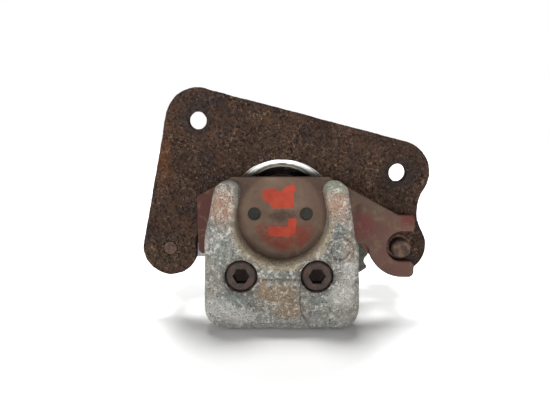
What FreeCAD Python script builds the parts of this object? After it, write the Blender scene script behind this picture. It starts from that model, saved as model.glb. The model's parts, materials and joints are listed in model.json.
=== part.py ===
"""Single-piston floating brake caliper on a flat bracket plate.

Frame: +Z up, +Y from the claw towards the cylinder, +X to the right seen from the claw.
Origin: midway between the two bracket bolt holes, on the bracket's mounting face.
The caliper stands on the flat underside of its bridge. All sizes are in millimetres.
"""
import FreeCAD, Part
import math
import os

V = FreeCAD.Vector
ALONG_Y = V(0, 1, 0)
ALONG_Z = V(0, 0, 1)

# ---- driving dimensions -------------------------------------------------------------
# bracket plate
PLATE_T = 6.0            # thickness
BOLT_SPACING = 116.5     # between the two mounting holes
BOLT_TILT = 14.5         # the line through them drops to the right by this angle, degrees
BOLT_HOLE_D = 10.0       # coarse clearance for M8
BOLT_LOBE_R = 18.0
PIN_LOBE_R = 16.0
WAIST_R = 24.0           # hollow in the right edge, between its two lobes
LEG_CORNER_R = 8.0
# where the cylinder axis is, from the origin
BORE_X = -9.1
BORE_Z = -40.2
# guide pins, from the cylinder axis
PIN_D = 11.0
PIN_LEFT_X = -64.9
PIN_LEFT_Z = -18.4
PIN_RIGHT_X = 67.3
PIN_RIGHT_Z = -16.8
RIVET_D = 8.0            # tail of the left pin, riveted flush in the plate
PIN_COLLAR_D = 13.8
PIN_COLLAR_T = 1.0
# piston and cylinder
PISTON_D = 44.0
PISTON_LENGTH = 32.0
PISTON_WALL = 3.2
BOOT_ROOM = 5.8          # radial room for the dust boot round the piston
RING_LAND = 8.2          # machined ring outside the boot's recess
RECESS_DEPTH = 8.0
BARREL_WALL = 11.0
BARREL_END_T = 12.0
STROKE_ROOM = 3.0        # behind the piston
SEAL_W = 3.4
SEAL_DEPTH = 2.5
# pads and disc
DISC_T = 8.0             # the disc that runs between the pads (not part of this object)
DISC_GAP = 0.3
LINING_T = 10.0
PAD_PLATE_T = 5.0
PAD_GAP = 2.5            # between the front pad's plate and the bracket
PAD_TOP_HALF = 27.0
PAD_HALF = 46.4
PAD_TOP = 23.8           # above the cylinder axis
PAD_SHOULDER = 13.2
PAD_DROP = 19.7          # bottom edge below the cylinder axis
REAR_PAD_TOP = 20.4
PAD_LOBE_R = 24.2        # the bottom edge's bulge, round the cylinder axis
TOOL_R = 25.2            # groove that the boring tool leaves in the bridge
PAD_SHIFT = -0.9         # the pads sit slightly left of the cylinder axis
PAD_HOLE_D = 7.2
PAD_HOLE_PITCH = 29.3
PAD_HOLE_Z = 3.2
PLUG_SINK = 1.3
HOOK_SLOT_R = 8.7
HOOK_OUT_R = 20.2
FINGER_REACH = 6.6       # of the hook's two fingers past the pin's centre
# claw
CLAW_T = 17.0
CLAW_LOW_HALF = 42.2
CLAW_LEFT = ((34.6, 22.2), (39.9, -0.5), (41.4, -9.0))     # tip, side and shoulder, from the axis
CLAW_RIGHT = ((33.8, 22.2), (38.8, -6.3), (40.9, -12.0))
U_R = 24.8
U_LEAN = 11.0            # the U's sides lean together above its round part, degrees
U_RISE = 2.2             # the U's centre above the cylinder axis
TIP_R = 5.6
BASE_DROP = 59.8         # underside below the cylinder axis
CLAW_CORNER_R = 11.0
CLAW_EDGE_R = 3.0        # rounding of the front face's edges
# socket screws, M10
SCREW_PITCH = 40.7
SCREW_SHIFT = -1.6
SCREW_D = 10.0
HEAD_D = 16.0
HEAD_H = 10.0
HEX_AF = 8.0
HEX_DEPTH = 5.0
CBORE_D = 17.6
HEAD_SINK = 0.6
SCREW_GRIP = 35.0
# bridge and flange of the housing
BRIDGE_HALF = 38.0
FLANGE_T = 12.0
EAR_R = 16.0
LUG_REACH = 20.0         # of the lug under the right ear, past the bridge
LUG_DROP = 30.5          # below the right guide pin
BOSS_R = 13.0
BUSH_WALL = 2.0
# bleed screw and hose port
BLEED_D = 8.0
BLEED_AF = 9.0
NIPPLE_R = 3.4
PORT_D = 10.0
PORT_DEPTH = 12.0

# ---- clearances ----------------------------------------------------------------------
RUN = 0.05               # radial, of what turns or slides in a bore
TOUCH = 0.1              # between faces of separate bodies that bear on each other

# ---- places worked out from them -----------------------------------------------------
BORE = (BORE_X, BORE_Z)
PIN_LEFT = (BORE_X + PIN_LEFT_X, BORE_Z + PIN_LEFT_Z)
PIN_RIGHT = (BORE_X + PIN_RIGHT_X, BORE_Z + PIN_RIGHT_Z)
PIN_R = PIN_D / 2
PISTON_R = PISTON_D / 2
RECESS_R = PISTON_R + BOOT_ROOM
NOSE_R = RECESS_R + RING_LAND
ARCH_R = RECESS_R + 5.2
BARREL_R = PISTON_R + BARREL_WALL

FRONT_PAD_Y = -PAD_GAP - PAD_PLATE_T
CLAW_REAR = FRONT_PAD_Y - TOUCH
CLAW_FRONT = CLAW_REAR - CLAW_T
DISC_FRONT = LINING_T - PAD_GAP + DISC_GAP
DISC_REAR = DISC_FRONT + DISC_T
REAR_LINING_Y = DISC_REAR + DISC_GAP
REAR_PAD_Y = REAR_LINING_Y + LINING_T
PISTON_Y = REAR_PAD_Y + PAD_PLATE_T + TOUCH
RING_Y = PISTON_Y + 0.8
RECESS_Y = RING_Y + RECESS_DEPTH
PISTON_END = PISTON_Y + PISTON_LENGTH
BORE_END = PISTON_END + STROKE_ROOM
BARREL_END = BORE_END + BARREL_END_T

BASE_Z = BORE_Z - BASE_DROP
TIP_RISE = CLAW_LEFT[0][1]
U_CENTRE = (BORE_X, BORE_Z + U_RISE)
CBORE_R = CBORE_D / 2
SCREW_WALL = 2.7         # metal between a counterbore and the U
SCREW_REACH = U_R + CBORE_R + SCREW_WALL
SCREW_Z = U_CENTRE[1] - math.sqrt(SCREW_REACH ** 2 - (SCREW_PITCH / 2) ** 2)
SCREW_X = [BORE_X + SCREW_SHIFT + side * SCREW_PITCH / 2 for side in (-1, 1)]
HEAD_Y = CLAW_FRONT + HEAD_SINK
SCREW_END = HEAD_Y + HEAD_H + SCREW_GRIP
PAD_BOTTOM = BORE_Z - PAD_DROP
BRIDGE_TOP = min(PAD_BOTTOM - 0.9, SCREW_Z + SCREW_D / 2 + 2.3)

FLANGE_Y = RING_Y + 10.0
FLANGE_END = FLANGE_Y + FLANGE_T
SPIGOT_Y = FLANGE_Y - 2.4
SPIGOT_R = PIN_R + 2.6
BUSH_R = PIN_R + BUSH_WALL
BOSS_END = FLANGE_END + 16.0
CAP_T = 3.0
CAP_Y = BOSS_END - CAP_T
PIN_END = CAP_Y - 4.0
BOOT_LIP_Y = PISTON_Y + 2.3      # front of the guide boots' lips
BOOT_LIP_W = 2.0
BOOT_GROOVE = 0.4                # depth of the pins' groove under the lips

BLEED_Y = (RECESS_Y + BORE_END) / 2
BLEED_BOSS_TOP = BORE_Z + BARREL_R + 4.0
PORT_X = BORE_X + 13.0
PORT_Z = BORE_Z - 6.0
PORT_BOSS_R = PORT_D / 2 + 4.5
PORT_MOUTH = BARREL_END + 4.0
PASSAGE_R = 1.75


# ---- helpers --------------------------------------------------------------------------
def at(point, y):
    """The point (x, z) of a profile, at depth y."""
    return V(point[0], y, point[1])


def face(start, *steps):
    """A closed XZ profile: a step (x, z) is a line, and a step of two points is an arc through the first."""
    edges = []
    here = start
    for step in list(steps) + [start]:
        if isinstance(step[0], tuple):
            edges.append(Part.Arc(at(here, 0), at(step[0], 0), at(step[1], 0)).toShape())
            here = step[1]
        elif math.dist(here, step) > 1e-6:
            edges.append(Part.LineSegment(at(here, 0), at(step, 0)).toShape())
            here = step
    return Part.Face(Part.Wire(edges))


def plate(profile, y0, y1):
    """A profile made solid between two depths."""
    solid = profile.extrude(V(0, y1 - y0, 0))
    solid.translate(V(0, y0, 0))
    return solid


def rod(centre, r, y0, y1):
    return Part.makeCylinder(r, y1 - y0, at(centre, y0), ALONG_Y)


def ring(centre, r_in, r_out, y0, y1):
    return rod(centre, r_out, y0, y1).cut(rod(centre, r_in, y0 - 1, y1 + 1))


def cone(centre, r0, r1, y0, y1):
    return Part.makeCone(r0, r1, y1 - y0, at(centre, y0), ALONG_Y)


def block(x0, x1, y0, y1, z0, z1):
    return Part.makeBox(x1 - x0, y1 - y0, z1 - z0, V(x0, y0, z0))


def turned(centre, outline):
    """A solid of revolution about a Y axis, from its outline of (radius, y) points."""
    points = [V(centre[0] + r, y, centre[1]) for r, y in outline]
    wire = Part.makePolygon(points + points[:1])
    return Part.Face(wire).revolve(at(centre, 0), ALONG_Y, 360)


def hexagon(centre, across_flats, y0, y1):
    r = across_flats / math.sqrt(3)
    corners = [V(centre[0] + r * math.cos(math.radians(60 * i)), y0,
                 centre[1] + r * math.sin(math.radians(60 * i))) for i in range(6)]
    return Part.Face(Part.makePolygon(corners + corners[:1])).extrude(V(0, y1 - y0, 0))


def clean(shape):
    """The shape's one solid, or all of them, with split faces joined."""
    tidy = shape.removeSplitter()
    return tidy.Solids[0] if len(tidy.Solids) == 1 else Part.makeCompound(tidy.Solids)


def along(start, angle, distance):
    """The point a distance from a start, at an angle in degrees from +X."""
    return (start[0] + distance * math.cos(math.radians(angle)),
            start[1] + distance * math.sin(math.radians(angle)))


def link(centre_a, r_a, centre_b, r_b):
    """The plate profile of two round lobes and the straight edges that join them."""
    heading = math.degrees(math.atan2(centre_b[1] - centre_a[1], centre_b[0] - centre_a[0]))
    lean = math.degrees(math.acos((r_a - r_b) / math.dist(centre_a, centre_b)))
    return face(along(centre_a, heading + lean, r_a),
                (along(centre_a, heading + 180, r_a), along(centre_a, heading - lean, r_a)),
                along(centre_b, heading - lean, r_b),
                (along(centre_b, heading, r_b), along(centre_b, heading + lean, r_b)))


def edges_at(shape, y):
    """The edges that lie in the plane at depth y."""
    return [edge for edge in shape.Edges
            if max(abs(vertex.Point.y - y) for vertex in edge.Vertexes) < 1e-4
            and abs(edge.CenterOfMass.y - y) < 1e-4]


# ---- bracket --------------------------------------------------------------------------
def bolt_centre(side):
    """A mounting hole: side is -1 for the upper left one, 1 for the right one."""
    return along((0, 0), -BOLT_TILT, side * BOLT_SPACING / 2)


def waist(upper, lower):
    """The web between the two right lobes, with its hollow edge."""
    to_upper = BOLT_LOBE_R + WAIST_R
    to_lower = PIN_LOBE_R + WAIST_R
    span = math.dist(upper, lower)
    down = math.degrees(math.atan2(lower[1] - upper[1], lower[0] - upper[0]))
    turn = math.degrees(math.acos((to_upper ** 2 + span ** 2 - to_lower ** 2) / (2 * to_upper * span)))
    hollow = along(upper, down + turn, to_upper)
    to_a = math.degrees(math.atan2(upper[1] - hollow[1], upper[0] - hollow[0])) % 360
    to_b = math.degrees(math.atan2(lower[1] - hollow[1], lower[0] - hollow[0])) % 360
    return face(upper, along(hollow, to_a, WAIST_R),
                (along(hollow, (to_a + to_b) / 2, WAIST_R), along(hollow, to_b, WAIST_R)), lower)


def leg_opening():
    """The space between the bracket's legs, under the arch."""
    left = PIN_LEFT[0] + PIN_LOBE_R - 1.0
    right = PIN_RIGHT[0] - PIN_LOBE_R + 1.0
    top = BORE_Z - 6.0
    r = LEG_CORNER_R
    low = min(PIN_LEFT[1], PIN_RIGHT[1]) - 2 * PIN_LOBE_R
    diagonal = r * (1 - math.sqrt(0.5))
    return face((left, low), (left, top - r), ((left + diagonal, top - diagonal), (left + r, top)),
                (right - r, top), ((right - diagonal, top - diagonal), (right, top - r)), (right, low))


def bracket_plate():
    upper_left = bolt_centre(-1)
    upper_right = bolt_centre(1)
    web = face(upper_left, upper_right, PIN_RIGHT, PIN_LEFT)
    body = plate(web, 0, PLATE_T)
    links = [link(upper_left, BOLT_LOBE_R, upper_right, BOLT_LOBE_R),
             link(upper_left, BOLT_LOBE_R, PIN_LEFT, PIN_LOBE_R),
             waist(upper_right, PIN_RIGHT)]
    for piece in links:
        body = body.fuse(plate(piece, 0, PLATE_T))
    body = body.fuse(rod(PIN_RIGHT, PIN_LOBE_R, 0, PLATE_T))
    body = body.cut(rod(BORE, ARCH_R, -1, PLATE_T + 1))
    body = body.cut(plate(leg_opening(), -1, PLATE_T + 1)).removeSplitter()
    body = body.makeFillet(0.5, edges_at(body, 0) + edges_at(body, PLATE_T))
    for centre, d in ((upper_left, BOLT_HOLE_D), (upper_right, BOLT_HOLE_D),
                      (PIN_LEFT, RIVET_D), (PIN_RIGHT, PIN_D)):
        body = body.cut(rod(centre, d / 2, -1, PLATE_T + 1))
    return clean(body)


def guide_pin(centre, front):
    """A guide pin: front is the outline of what is in and before the plate, as (radius, y) points."""
    neck = PIN_R - BOOT_GROOVE
    lip_end = BOOT_LIP_Y + BOOT_LIP_W
    shank = [(PIN_R, BOOT_LIP_Y), (neck, BOOT_LIP_Y), (neck, lip_end), (PIN_R, lip_end),
             (PIN_R, PIN_END - 1), (PIN_R - 1, PIN_END), (0, PIN_END)]
    return turned(centre, front + shank)


def guide_pin_left():
    """Its tail is riveted flush with the plate's front face, and its shoulder bears on the back."""
    r = RIVET_D / 2
    shoulder = PIN_R + 2.0
    return guide_pin(PIN_LEFT, [(0, -0.15), (r - 0.4, -0.15), (r, 0.3), (r, PLATE_T), (shoulder, PLATE_T),
                                (shoulder, PLATE_T + 2.5), (PIN_R, PLATE_T + 2.5)])


def guide_pin_right():
    """Its front end stands out of the plate, and the front pad hooks on it."""
    collar = PIN_COLLAR_D / 2
    shoulder = PIN_R + 2.0
    tip = FRONT_PAD_Y
    return guide_pin(PIN_RIGHT, [(0, tip), (PIN_R - 0.9, tip), (PIN_R, tip + 0.9), (PIN_R, -PIN_COLLAR_T),
                                 (collar, -PIN_COLLAR_T), (collar, 0), (PIN_R, 0), (PIN_R, PLATE_T),
                                 (shoulder, PLATE_T), (shoulder, PLATE_T + 2.5), (PIN_R, PLATE_T + 2.5)])


# ---- pads -----------------------------------------------------------------------------
def pad_outline(top):
    """The backing plate's profile, with the hook round the right guide pin."""
    centre = BORE_X + PAD_SHIFT
    left = centre - PAD_HALF
    shoulder_z = BORE_Z + PAD_SHOULDER
    top_z = BORE_Z + top
    slope = (PAD_TOP - PAD_SHOULDER) / (PAD_HALF - PAD_TOP_HALF)
    top_half = PAD_HALF - (top - PAD_SHOULDER) / slope
    slot_x = PIN_RIGHT[0] + 0.4
    slot_z = PIN_RIGHT[1] + 1.4
    finger_end = slot_x + FINGER_REACH
    hook = (slot_x + 1.0, slot_z + 2.2)
    upper_top = slot_z + HOOK_SLOT_R + 9.2
    upper_foot_x = centre + PAD_HALF + (shoulder_z - upper_top) / slope
    lower_bottom = hook[1] - HOOK_OUT_R
    step_z = PAD_BOTTOM + 6.0
    step_x = centre + PAD_HALF - 14.0
    web_r = 5.0
    web_x = hook[0] - math.sqrt((HOOK_OUT_R + web_r) ** 2 - (hook[1] - step_z + web_r) ** 2)
    web_centre = (web_x, step_z - web_r)
    web_angle = math.degrees(math.atan2(hook[1] - web_centre[1], hook[0] - web_centre[0]))
    web_end = along(web_centre, web_angle, web_r)
    out_angle = web_angle + 180
    end_r = 3.0
    corner = end_r * (1 - math.sqrt(0.5))
    upper_under = slot_z + HOOK_SLOT_R
    lower_over = slot_z - HOOK_SLOT_R
    lobe_half = math.sqrt(PAD_LOBE_R ** 2 - PAD_DROP ** 2)
    return face(
        (left, shoulder_z), (centre - top_half, top_z), (centre + top_half, top_z),
        (upper_foot_x, upper_top), (finger_end - end_r, upper_top),
        ((finger_end - corner, upper_top - corner), (finger_end, upper_top - end_r)),
        (finger_end, upper_under + 1.2), (finger_end - 1.2, upper_under), (slot_x, upper_under),
        ((slot_x - HOOK_SLOT_R, slot_z), (slot_x, lower_over)),
        (finger_end - 1.2, lower_over), (finger_end + 0.6, lower_over - 1.8),
        (finger_end + 0.6, lower_bottom + end_r),
        ((finger_end + 0.6 - corner, lower_bottom + corner), (finger_end + 0.6 - end_r, lower_bottom)),
        (hook[0], lower_bottom),
        (along(hook, (out_angle + 270) / 2, HOOK_OUT_R), web_end),
        (along(web_centre, (web_angle + 90) / 2, web_r), (web_x, step_z)),
        (step_x, step_z), (step_x - 6.0, PAD_BOTTOM), (BORE_X + lobe_half, PAD_BOTTOM),
        ((BORE_X, BORE_Z - PAD_LOBE_R), (BORE_X - lobe_half, PAD_BOTTOM)),
        (left + 1.8, PAD_BOTTOM), (left, PAD_BOTTOM + 1.8))


def pad_holes():
    centre = BORE_X + PAD_SHIFT
    return [(centre + side * PAD_HOLE_PITCH / 2, BORE_Z + PAD_HOLE_Z) for side in (-1, 1)]


def pad_plate(top, y):
    body = plate(pad_outline(top), y, y + PAD_PLATE_T).removeSplitter()
    body = body.makeFillet(0.4, edges_at(body, y) + edges_at(body, y + PAD_PLATE_T))
    for centre in pad_holes():
        body = body.cut(rod(centre, PAD_HOLE_D / 2, y - 1, y + PAD_PLATE_T + 1))
    return clean(body)


def lining(top, face_y, back_y, plate_outer_y):
    """Friction lining with its two moulded plugs: it goes from the rubbing face to the plate's face."""
    half = ARCH_R - 2.0
    low = PAD_BOTTOM + 1.6
    y0, y1 = sorted((face_y, back_y))
    body = rod(BORE, half, y0, y1)
    body = body.fuse(block(BORE_X - half, BORE_X + half, y0, y1, low, BORE_Z))
    body = body.common(block(BORE_X - half, BORE_X + half, y0, y1, low, BORE_Z + top - 3.0))
    outward = 1 if back_y < face_y else -1
    groove_y0, groove_y1 = sorted((face_y + outward, face_y - outward * 0.35 * LINING_T))
    body = body.cut(block(BORE_X - 1.25, BORE_X + 1.25, groove_y0, groove_y1, low - 1, BORE_Z + PAD_TOP))
    plug_end = plate_outer_y + outward * PLUG_SINK
    y0, y1 = sorted((plug_end, back_y))
    for centre in pad_holes():
        body = body.fuse(rod(centre, PAD_HOLE_D / 2 - RUN, y0, y1))
    return clean(body)


# ---- claw and its screws ----------------------------------------------------------------
def u_cut():
    """The U in the claw: round at the bottom, with sides that lean together."""
    left_foot = along(U_CENTRE, 180 - U_LEAN, U_R)
    right_foot = along(U_CENTRE, U_LEAN, U_R)
    rise = BORE_Z + TIP_RISE + 5.0 - left_foot[1]
    shift = rise * math.tan(math.radians(U_LEAN))
    return face((left_foot[0] + shift, left_foot[1] + rise), left_foot,
                ((U_CENTRE[0], U_CENTRE[1] - U_R), right_foot),
                (right_foot[0] - shift, right_foot[1] + rise))


def claw_outline():
    """Outer profile of the claw, with rounded lower corners. Its two sides differ a little."""
    r = CLAW_CORNER_R
    c = r * (1 - math.sqrt(0.5))
    halves = []
    for side, points in ((-1, CLAW_LEFT), (1, CLAW_RIGHT)):
        low = [(CLAW_LOW_HALF - r, -BASE_DROP), (CLAW_LOW_HALF - c, c - BASE_DROP), (CLAW_LOW_HALF, r - BASE_DROP)]
        halves.append([(BORE_X + side * x, BORE_Z + z) for x, z in low + list(points[::-1])])
    left, right = halves
    return face(left[0], (left[1], left[2]), *left[3:], *right[:2:-1], right[2], (right[1], right[0]))


def raised_marks():
    """The raised rectangle and the plain raised circle on the claw's front."""
    top = SCREW_Z - 1.6
    low = BASE_Z + 6.6
    half = 10.2
    middle = BORE_X - 0.6
    foot = 3.6
    profile = face((middle - half - foot, low), (middle - half, low + 7.5), (middle - half, top),
                   (middle + half, top), (middle + half, low + 7.5), (middle + half + foot, low))
    patch = plate(profile, CLAW_FRONT - 0.9, CLAW_FRONT + 1.0)
    circle = ring((BORE_X + 30.8, BORE_Z - 13.2), 5.3, 6.4, CLAW_FRONT - 0.5, CLAW_FRONT + 1.0)
    return patch.fuse(circle)


def claw():
    body = plate(claw_outline(), CLAW_FRONT, CLAW_REAR)
    body = body.cut(plate(u_cut(), CLAW_FRONT - 1, CLAW_REAR + 1)).removeSplitter()
    tips = [edge for edge in body.Edges
            if len(edge.Vertexes) == 2 and abs(edge.Length - CLAW_T) < 1e-3
            and edge.CenterOfMass.z > BORE_Z + TIP_RISE - 0.5]
    body = body.makeFillet(TIP_R, tips)
    body = body.makeFillet(CLAW_EDGE_R, edges_at(body, CLAW_FRONT))
    body = body.makeFillet(0.8, edges_at(body, CLAW_REAR))
    body = body.fuse(raised_marks())
    for x in SCREW_X:
        body = body.cut(rod((x, SCREW_Z), CBORE_R, CLAW_FRONT - 2, HEAD_Y + HEAD_H))
        body = body.cut(rod((x, SCREW_Z), SCREW_D / 2 + 0.3, CLAW_FRONT, CLAW_REAR + 1))
    return clean(body)


def bridge_screws():
    """The two M10 socket screws that hold the claw to the bridge."""
    screws = []
    for x in SCREW_X:
        centre = (x, SCREW_Z)
        r = HEAD_D / 2
        y = HEAD_Y
        shank_y = y + HEAD_H
        body = turned(centre, [(0, y), (r - 0.8, y), (r, y + 0.8), (r, shank_y), (SCREW_D / 2, shank_y),
                               (SCREW_D / 2, SCREW_END - 1.2), (SCREW_D / 2 - 1.2, SCREW_END), (0, SCREW_END)])
        body = body.cut(hexagon(centre, HEX_AF, y - 1, y + HEX_DEPTH))
        body = body.cut(cone(centre, HEX_AF / 2 - 0.1, 0.3, y + HEX_DEPTH - 0.01, y + HEX_DEPTH + 2.2))
        screws.append(body)
    return Part.makeCompound(screws)


# ---- housing -----------------------------------------------------------------------------
def flange_outline():
    """The housing's flange, out to the two guide pin ears, with a notched lug at the lower right."""
    left = link(PIN_LEFT, EAR_R, BORE, NOSE_R - 2.0)
    right = link(PIN_RIGHT, EAR_R - 1.0, BORE, NOSE_R - 2.0)
    return left, right


def flange():
    body = None
    for profile in flange_outline():
        part = plate(profile, FLANGE_Y, FLANGE_END)
        body = part if body is None else body.fuse(part)
    low_left = PIN_LEFT[1] - EAR_R - 1.0
    left_web = block(PIN_LEFT[0], BORE_X, FLANGE_Y, FLANGE_END, low_left, PIN_LEFT[1])
    lug_x = BORE_X + BRIDGE_HALF
    lug_end = lug_x + LUG_REACH
    lug_low = PIN_RIGHT[1] - LUG_DROP
    lug = plate(face((lug_x - 10, PIN_RIGHT[1]), (lug_x - 10, lug_low), (lug_end - 7.0, lug_low),
                     (lug_end, lug_low + 4.5), (lug_end, PIN_RIGHT[1])), FLANGE_Y, FLANGE_END)
    notch = rod((lug_end + 2.0, lug_low + 9.4), 4.0, FLANGE_Y - 1, FLANGE_END + 1)
    return body.fuse(left_web).fuse(lug).cut(notch)


def bridge():
    """The bridge under the disc, from the claw's joint face back under the cylinder."""
    x0 = BORE_X - BRIDGE_HALF
    x1 = BORE_X + BRIDGE_HALF
    end = BORE_END - 4.0
    body = block(x0, x1, CLAW_REAR, end, BASE_Z, BRIDGE_TOP)
    long_edges = [edge for edge in body.Edges
                  if abs(edge.tangentAt(edge.FirstParameter).y) > 0.99 and edge.CenterOfMass.z < BASE_Z + 1]
    body = body.makeFillet(7.0, long_edges)
    back = [edge for edge in body.Edges
            if abs(edge.CenterOfMass.y - end) < 1e-3 and edge.CenterOfMass.z < BASE_Z + 20]
    body = body.makeFillet(5.0, back)
    groove = Part.makeCylinder(5.0, end - CLAW_REAR + 2, V(BORE_X, CLAW_REAR - 1, BASE_Z - 2.5), ALONG_Y)
    return body.cut(groove)


def barrel():
    """The cylinder's outside, its machined nose and its closed end."""
    body = turned(BORE, [(0, RING_Y), (NOSE_R - 0.6, RING_Y), (NOSE_R, RING_Y + 0.6), (NOSE_R, FLANGE_Y),
                         (BARREL_R + 2.0, FLANGE_Y + 4.0), (BARREL_R, FLANGE_END + 4.0), (BARREL_R, BORE_END),
                         (BARREL_R - 2.0, BARREL_END - 4.5), (BARREL_R - 6.5, BARREL_END), (0, BARREL_END)])
    saddle_half = BRIDGE_HALF - 9.0
    saddle = block(BORE_X - saddle_half, BORE_X + saddle_half, RING_Y + 1.0, BORE_END - 8.0,
                   BRIDGE_TOP - 1.0, BORE_Z)
    return body.fuse(saddle)


def bosses():
    """Bosses for the guide pins, the bleed screw and the hose."""
    body = rod((PORT_X, PORT_Z), PORT_BOSS_R, BORE_END, PORT_MOUTH)
    for centre in (PIN_LEFT, PIN_RIGHT):
        body = body.fuse(rod(centre, BOSS_R, FLANGE_Y, BOSS_END))
        body = body.fuse(rod(centre, SPIGOT_R, SPIGOT_Y, FLANGE_Y))
    bleed = Part.makeCylinder(BLEED_D / 2 + 4.0, BLEED_BOSS_TOP - BORE_Z, V(BORE_X, BLEED_Y, BORE_Z), ALONG_Z)
    return body.fuse(bleed)


def housing_cuts():
    """Everything that is bored or tapped in the housing."""
    cuts = [rod(BORE, RECESS_R, RING_Y - 1, RECESS_Y),
            cone(BORE, RECESS_R + 0.8, RECESS_R - 0.2, RING_Y - 0.01, RING_Y + 0.99),
            rod(BORE, PISTON_R + RUN, RECESS_Y - 1, BORE_END),
            rod(BORE, PISTON_R + SEAL_DEPTH, RECESS_Y + 5.0, RECESS_Y + 5.0 + SEAL_W),
            rod((PORT_X, PORT_Z), PORT_D / 2, PORT_MOUTH - PORT_DEPTH, PORT_MOUTH + 1),
            rod((PORT_X, PORT_Z), PASSAGE_R, BORE_END - 1, PORT_MOUTH),
            rod(BORE, TOOL_R, CLAW_REAR - 1, RING_Y)]
    for centre in (PIN_LEFT, PIN_RIGHT):
        cuts.append(rod(centre, PIN_R + 0.7, SPIGOT_Y - 1, FLANGE_Y + 2.0))
        cuts.append(rod(centre, BUSH_R, FLANGE_Y + 2.0, BOSS_END + 1))
    for x in SCREW_X:
        cuts.append(rod((x, SCREW_Z), SCREW_D / 2 + RUN, CLAW_REAR - 1, SCREW_END + 3.0))
    seat_z = BORE_Z + PISTON_R + 4.5
    cuts.append(Part.makeCylinder(BLEED_D / 2 + RUN, BLEED_BOSS_TOP - seat_z + 1, V(BORE_X, BLEED_Y, seat_z)))
    cuts.append(Part.makeCylinder(PASSAGE_R, PISTON_R + 5.0, V(BORE_X, BLEED_Y, BORE_Z)))
    return cuts


def cylinder_housing():
    body = barrel().fuse(bridge()).fuse(flange()).fuse(bosses()).removeSplitter()
    for cut in housing_cuts():
        body = body.cut(cut)
    return clean(body)


# ---- what is in the cylinder --------------------------------------------------------------
def piston():
    """Cup piston, open towards the pad, with a groove for the dust boot's lip."""
    r = PISTON_R
    inner = r - PISTON_WALL
    groove_y = PISTON_Y + 1.6
    cup_end = PISTON_END - 8.0
    return turned(BORE, [(inner + 0.4, PISTON_Y), (r - 0.4, PISTON_Y), (r, PISTON_Y + 0.4), (r, groove_y),
                         (r - 1.4, groove_y), (r - 1.4, groove_y + 2.0), (r, groove_y + 2.0),
                         (r, PISTON_END - 1), (r - 1, PISTON_END), (0, PISTON_END), (0, cup_end),
                         (inner - 1.5, cup_end), (inner, cup_end - 1.5), (inner, PISTON_Y + 0.4)])


def piston_seal():
    y = RECESS_Y + 5.0
    return ring(BORE, PISTON_R + 0.03, PISTON_R + SEAL_DEPTH, y + 0.1, y + SEAL_W - 0.1)


def piston_dust_boot():
    """Folded boot: its lip sits in the piston's groove, and its bead at the bottom of the recess."""
    r = PISTON_R
    lip_y = PISTON_Y + 1.8
    bead_y = RECESS_Y - 2.4
    outer = RECESS_R - 0.1
    return turned(BORE, [(r - 1.2, lip_y), (r + 1.4, lip_y), (r + 2.3, bead_y - 1.2), (r + 3.4, lip_y + 1.4),
                         (r + 4.4, bead_y), (outer, bead_y), (outer, RECESS_Y - 0.1),
                         (outer - 2.6, RECESS_Y - 0.1), (r + 2.6, bead_y + 1.2), (r + 3.2, lip_y + 2.6),
                         (r + 2.2, bead_y), (r + 0.3, bead_y - 1.4), (r + 0.3, lip_y + 1.6),
                         (r - 1.2, lip_y + 1.6)])


def boot_ring():
    """Spring ring that presses the dust boot's bead into the recess."""
    y = RECESS_Y - 3.5
    return ring(BORE, RECESS_R - 1.3, RECESS_R - 0.05, y, y + 1.0)


# ---- guide pin parts in the ears ------------------------------------------------------------
def guide_bush(centre):
    return ring(centre, PIN_R + RUN, BUSH_R - 0.02, FLANGE_Y + 2.2, CAP_Y - 5.0)


def guide_cap(centre):
    """Cup plug pressed into the back of the ear."""
    r = BUSH_R - 0.02
    return turned(centre, [(0, CAP_Y), (r, CAP_Y), (r, BOSS_END), (r - 1.0, BOSS_END),
                           (r - 1.0, CAP_Y + 1.2), (0, CAP_Y + 1.2)])


def guide_boot(centre):
    """Bellows between the groove of a guide pin and the spigot of its ear."""
    lip_y = BOOT_LIP_Y + 0.1
    lip_end = BOOT_LIP_Y + BOOT_LIP_W - 0.1
    bead_y = SPIGOT_Y - 0.2
    bead_in = SPIGOT_R + 0.03
    bead_out = SPIGOT_R + 2.2
    neck = PIN_R - BOOT_GROOVE + 0.03
    fold = (lip_end + bead_y) / 2
    return turned(centre, [(neck, lip_y), (neck + 2.2, lip_y), (neck + 2.4, lip_end), (bead_out + 0.6, fold - 0.7),
                           (bead_out + 0.6, fold), (bead_in + 0.8, fold + 0.7), (bead_out, bead_y),
                           (bead_out, FLANGE_Y - 0.1), (bead_in, FLANGE_Y - 0.1), (bead_in, bead_y),
                           (bead_in - 0.5, fold + 0.7), (bead_out - 0.7, fold - 0.3), (neck + 1.2, lip_end),
                           (neck, lip_end)])


# ---- bleed screw ----------------------------------------------------------------------------
def turned_up(outline):
    """A solid of revolution about the bleed screw's axis, from (radius, z) points."""
    points = [V(BORE_X + r, BLEED_Y, z) for r, z in outline]
    return Part.Face(Part.makePolygon(points + points[:1])).revolve(V(BORE_X, BLEED_Y, 0), ALONG_Z, 360)


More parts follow.
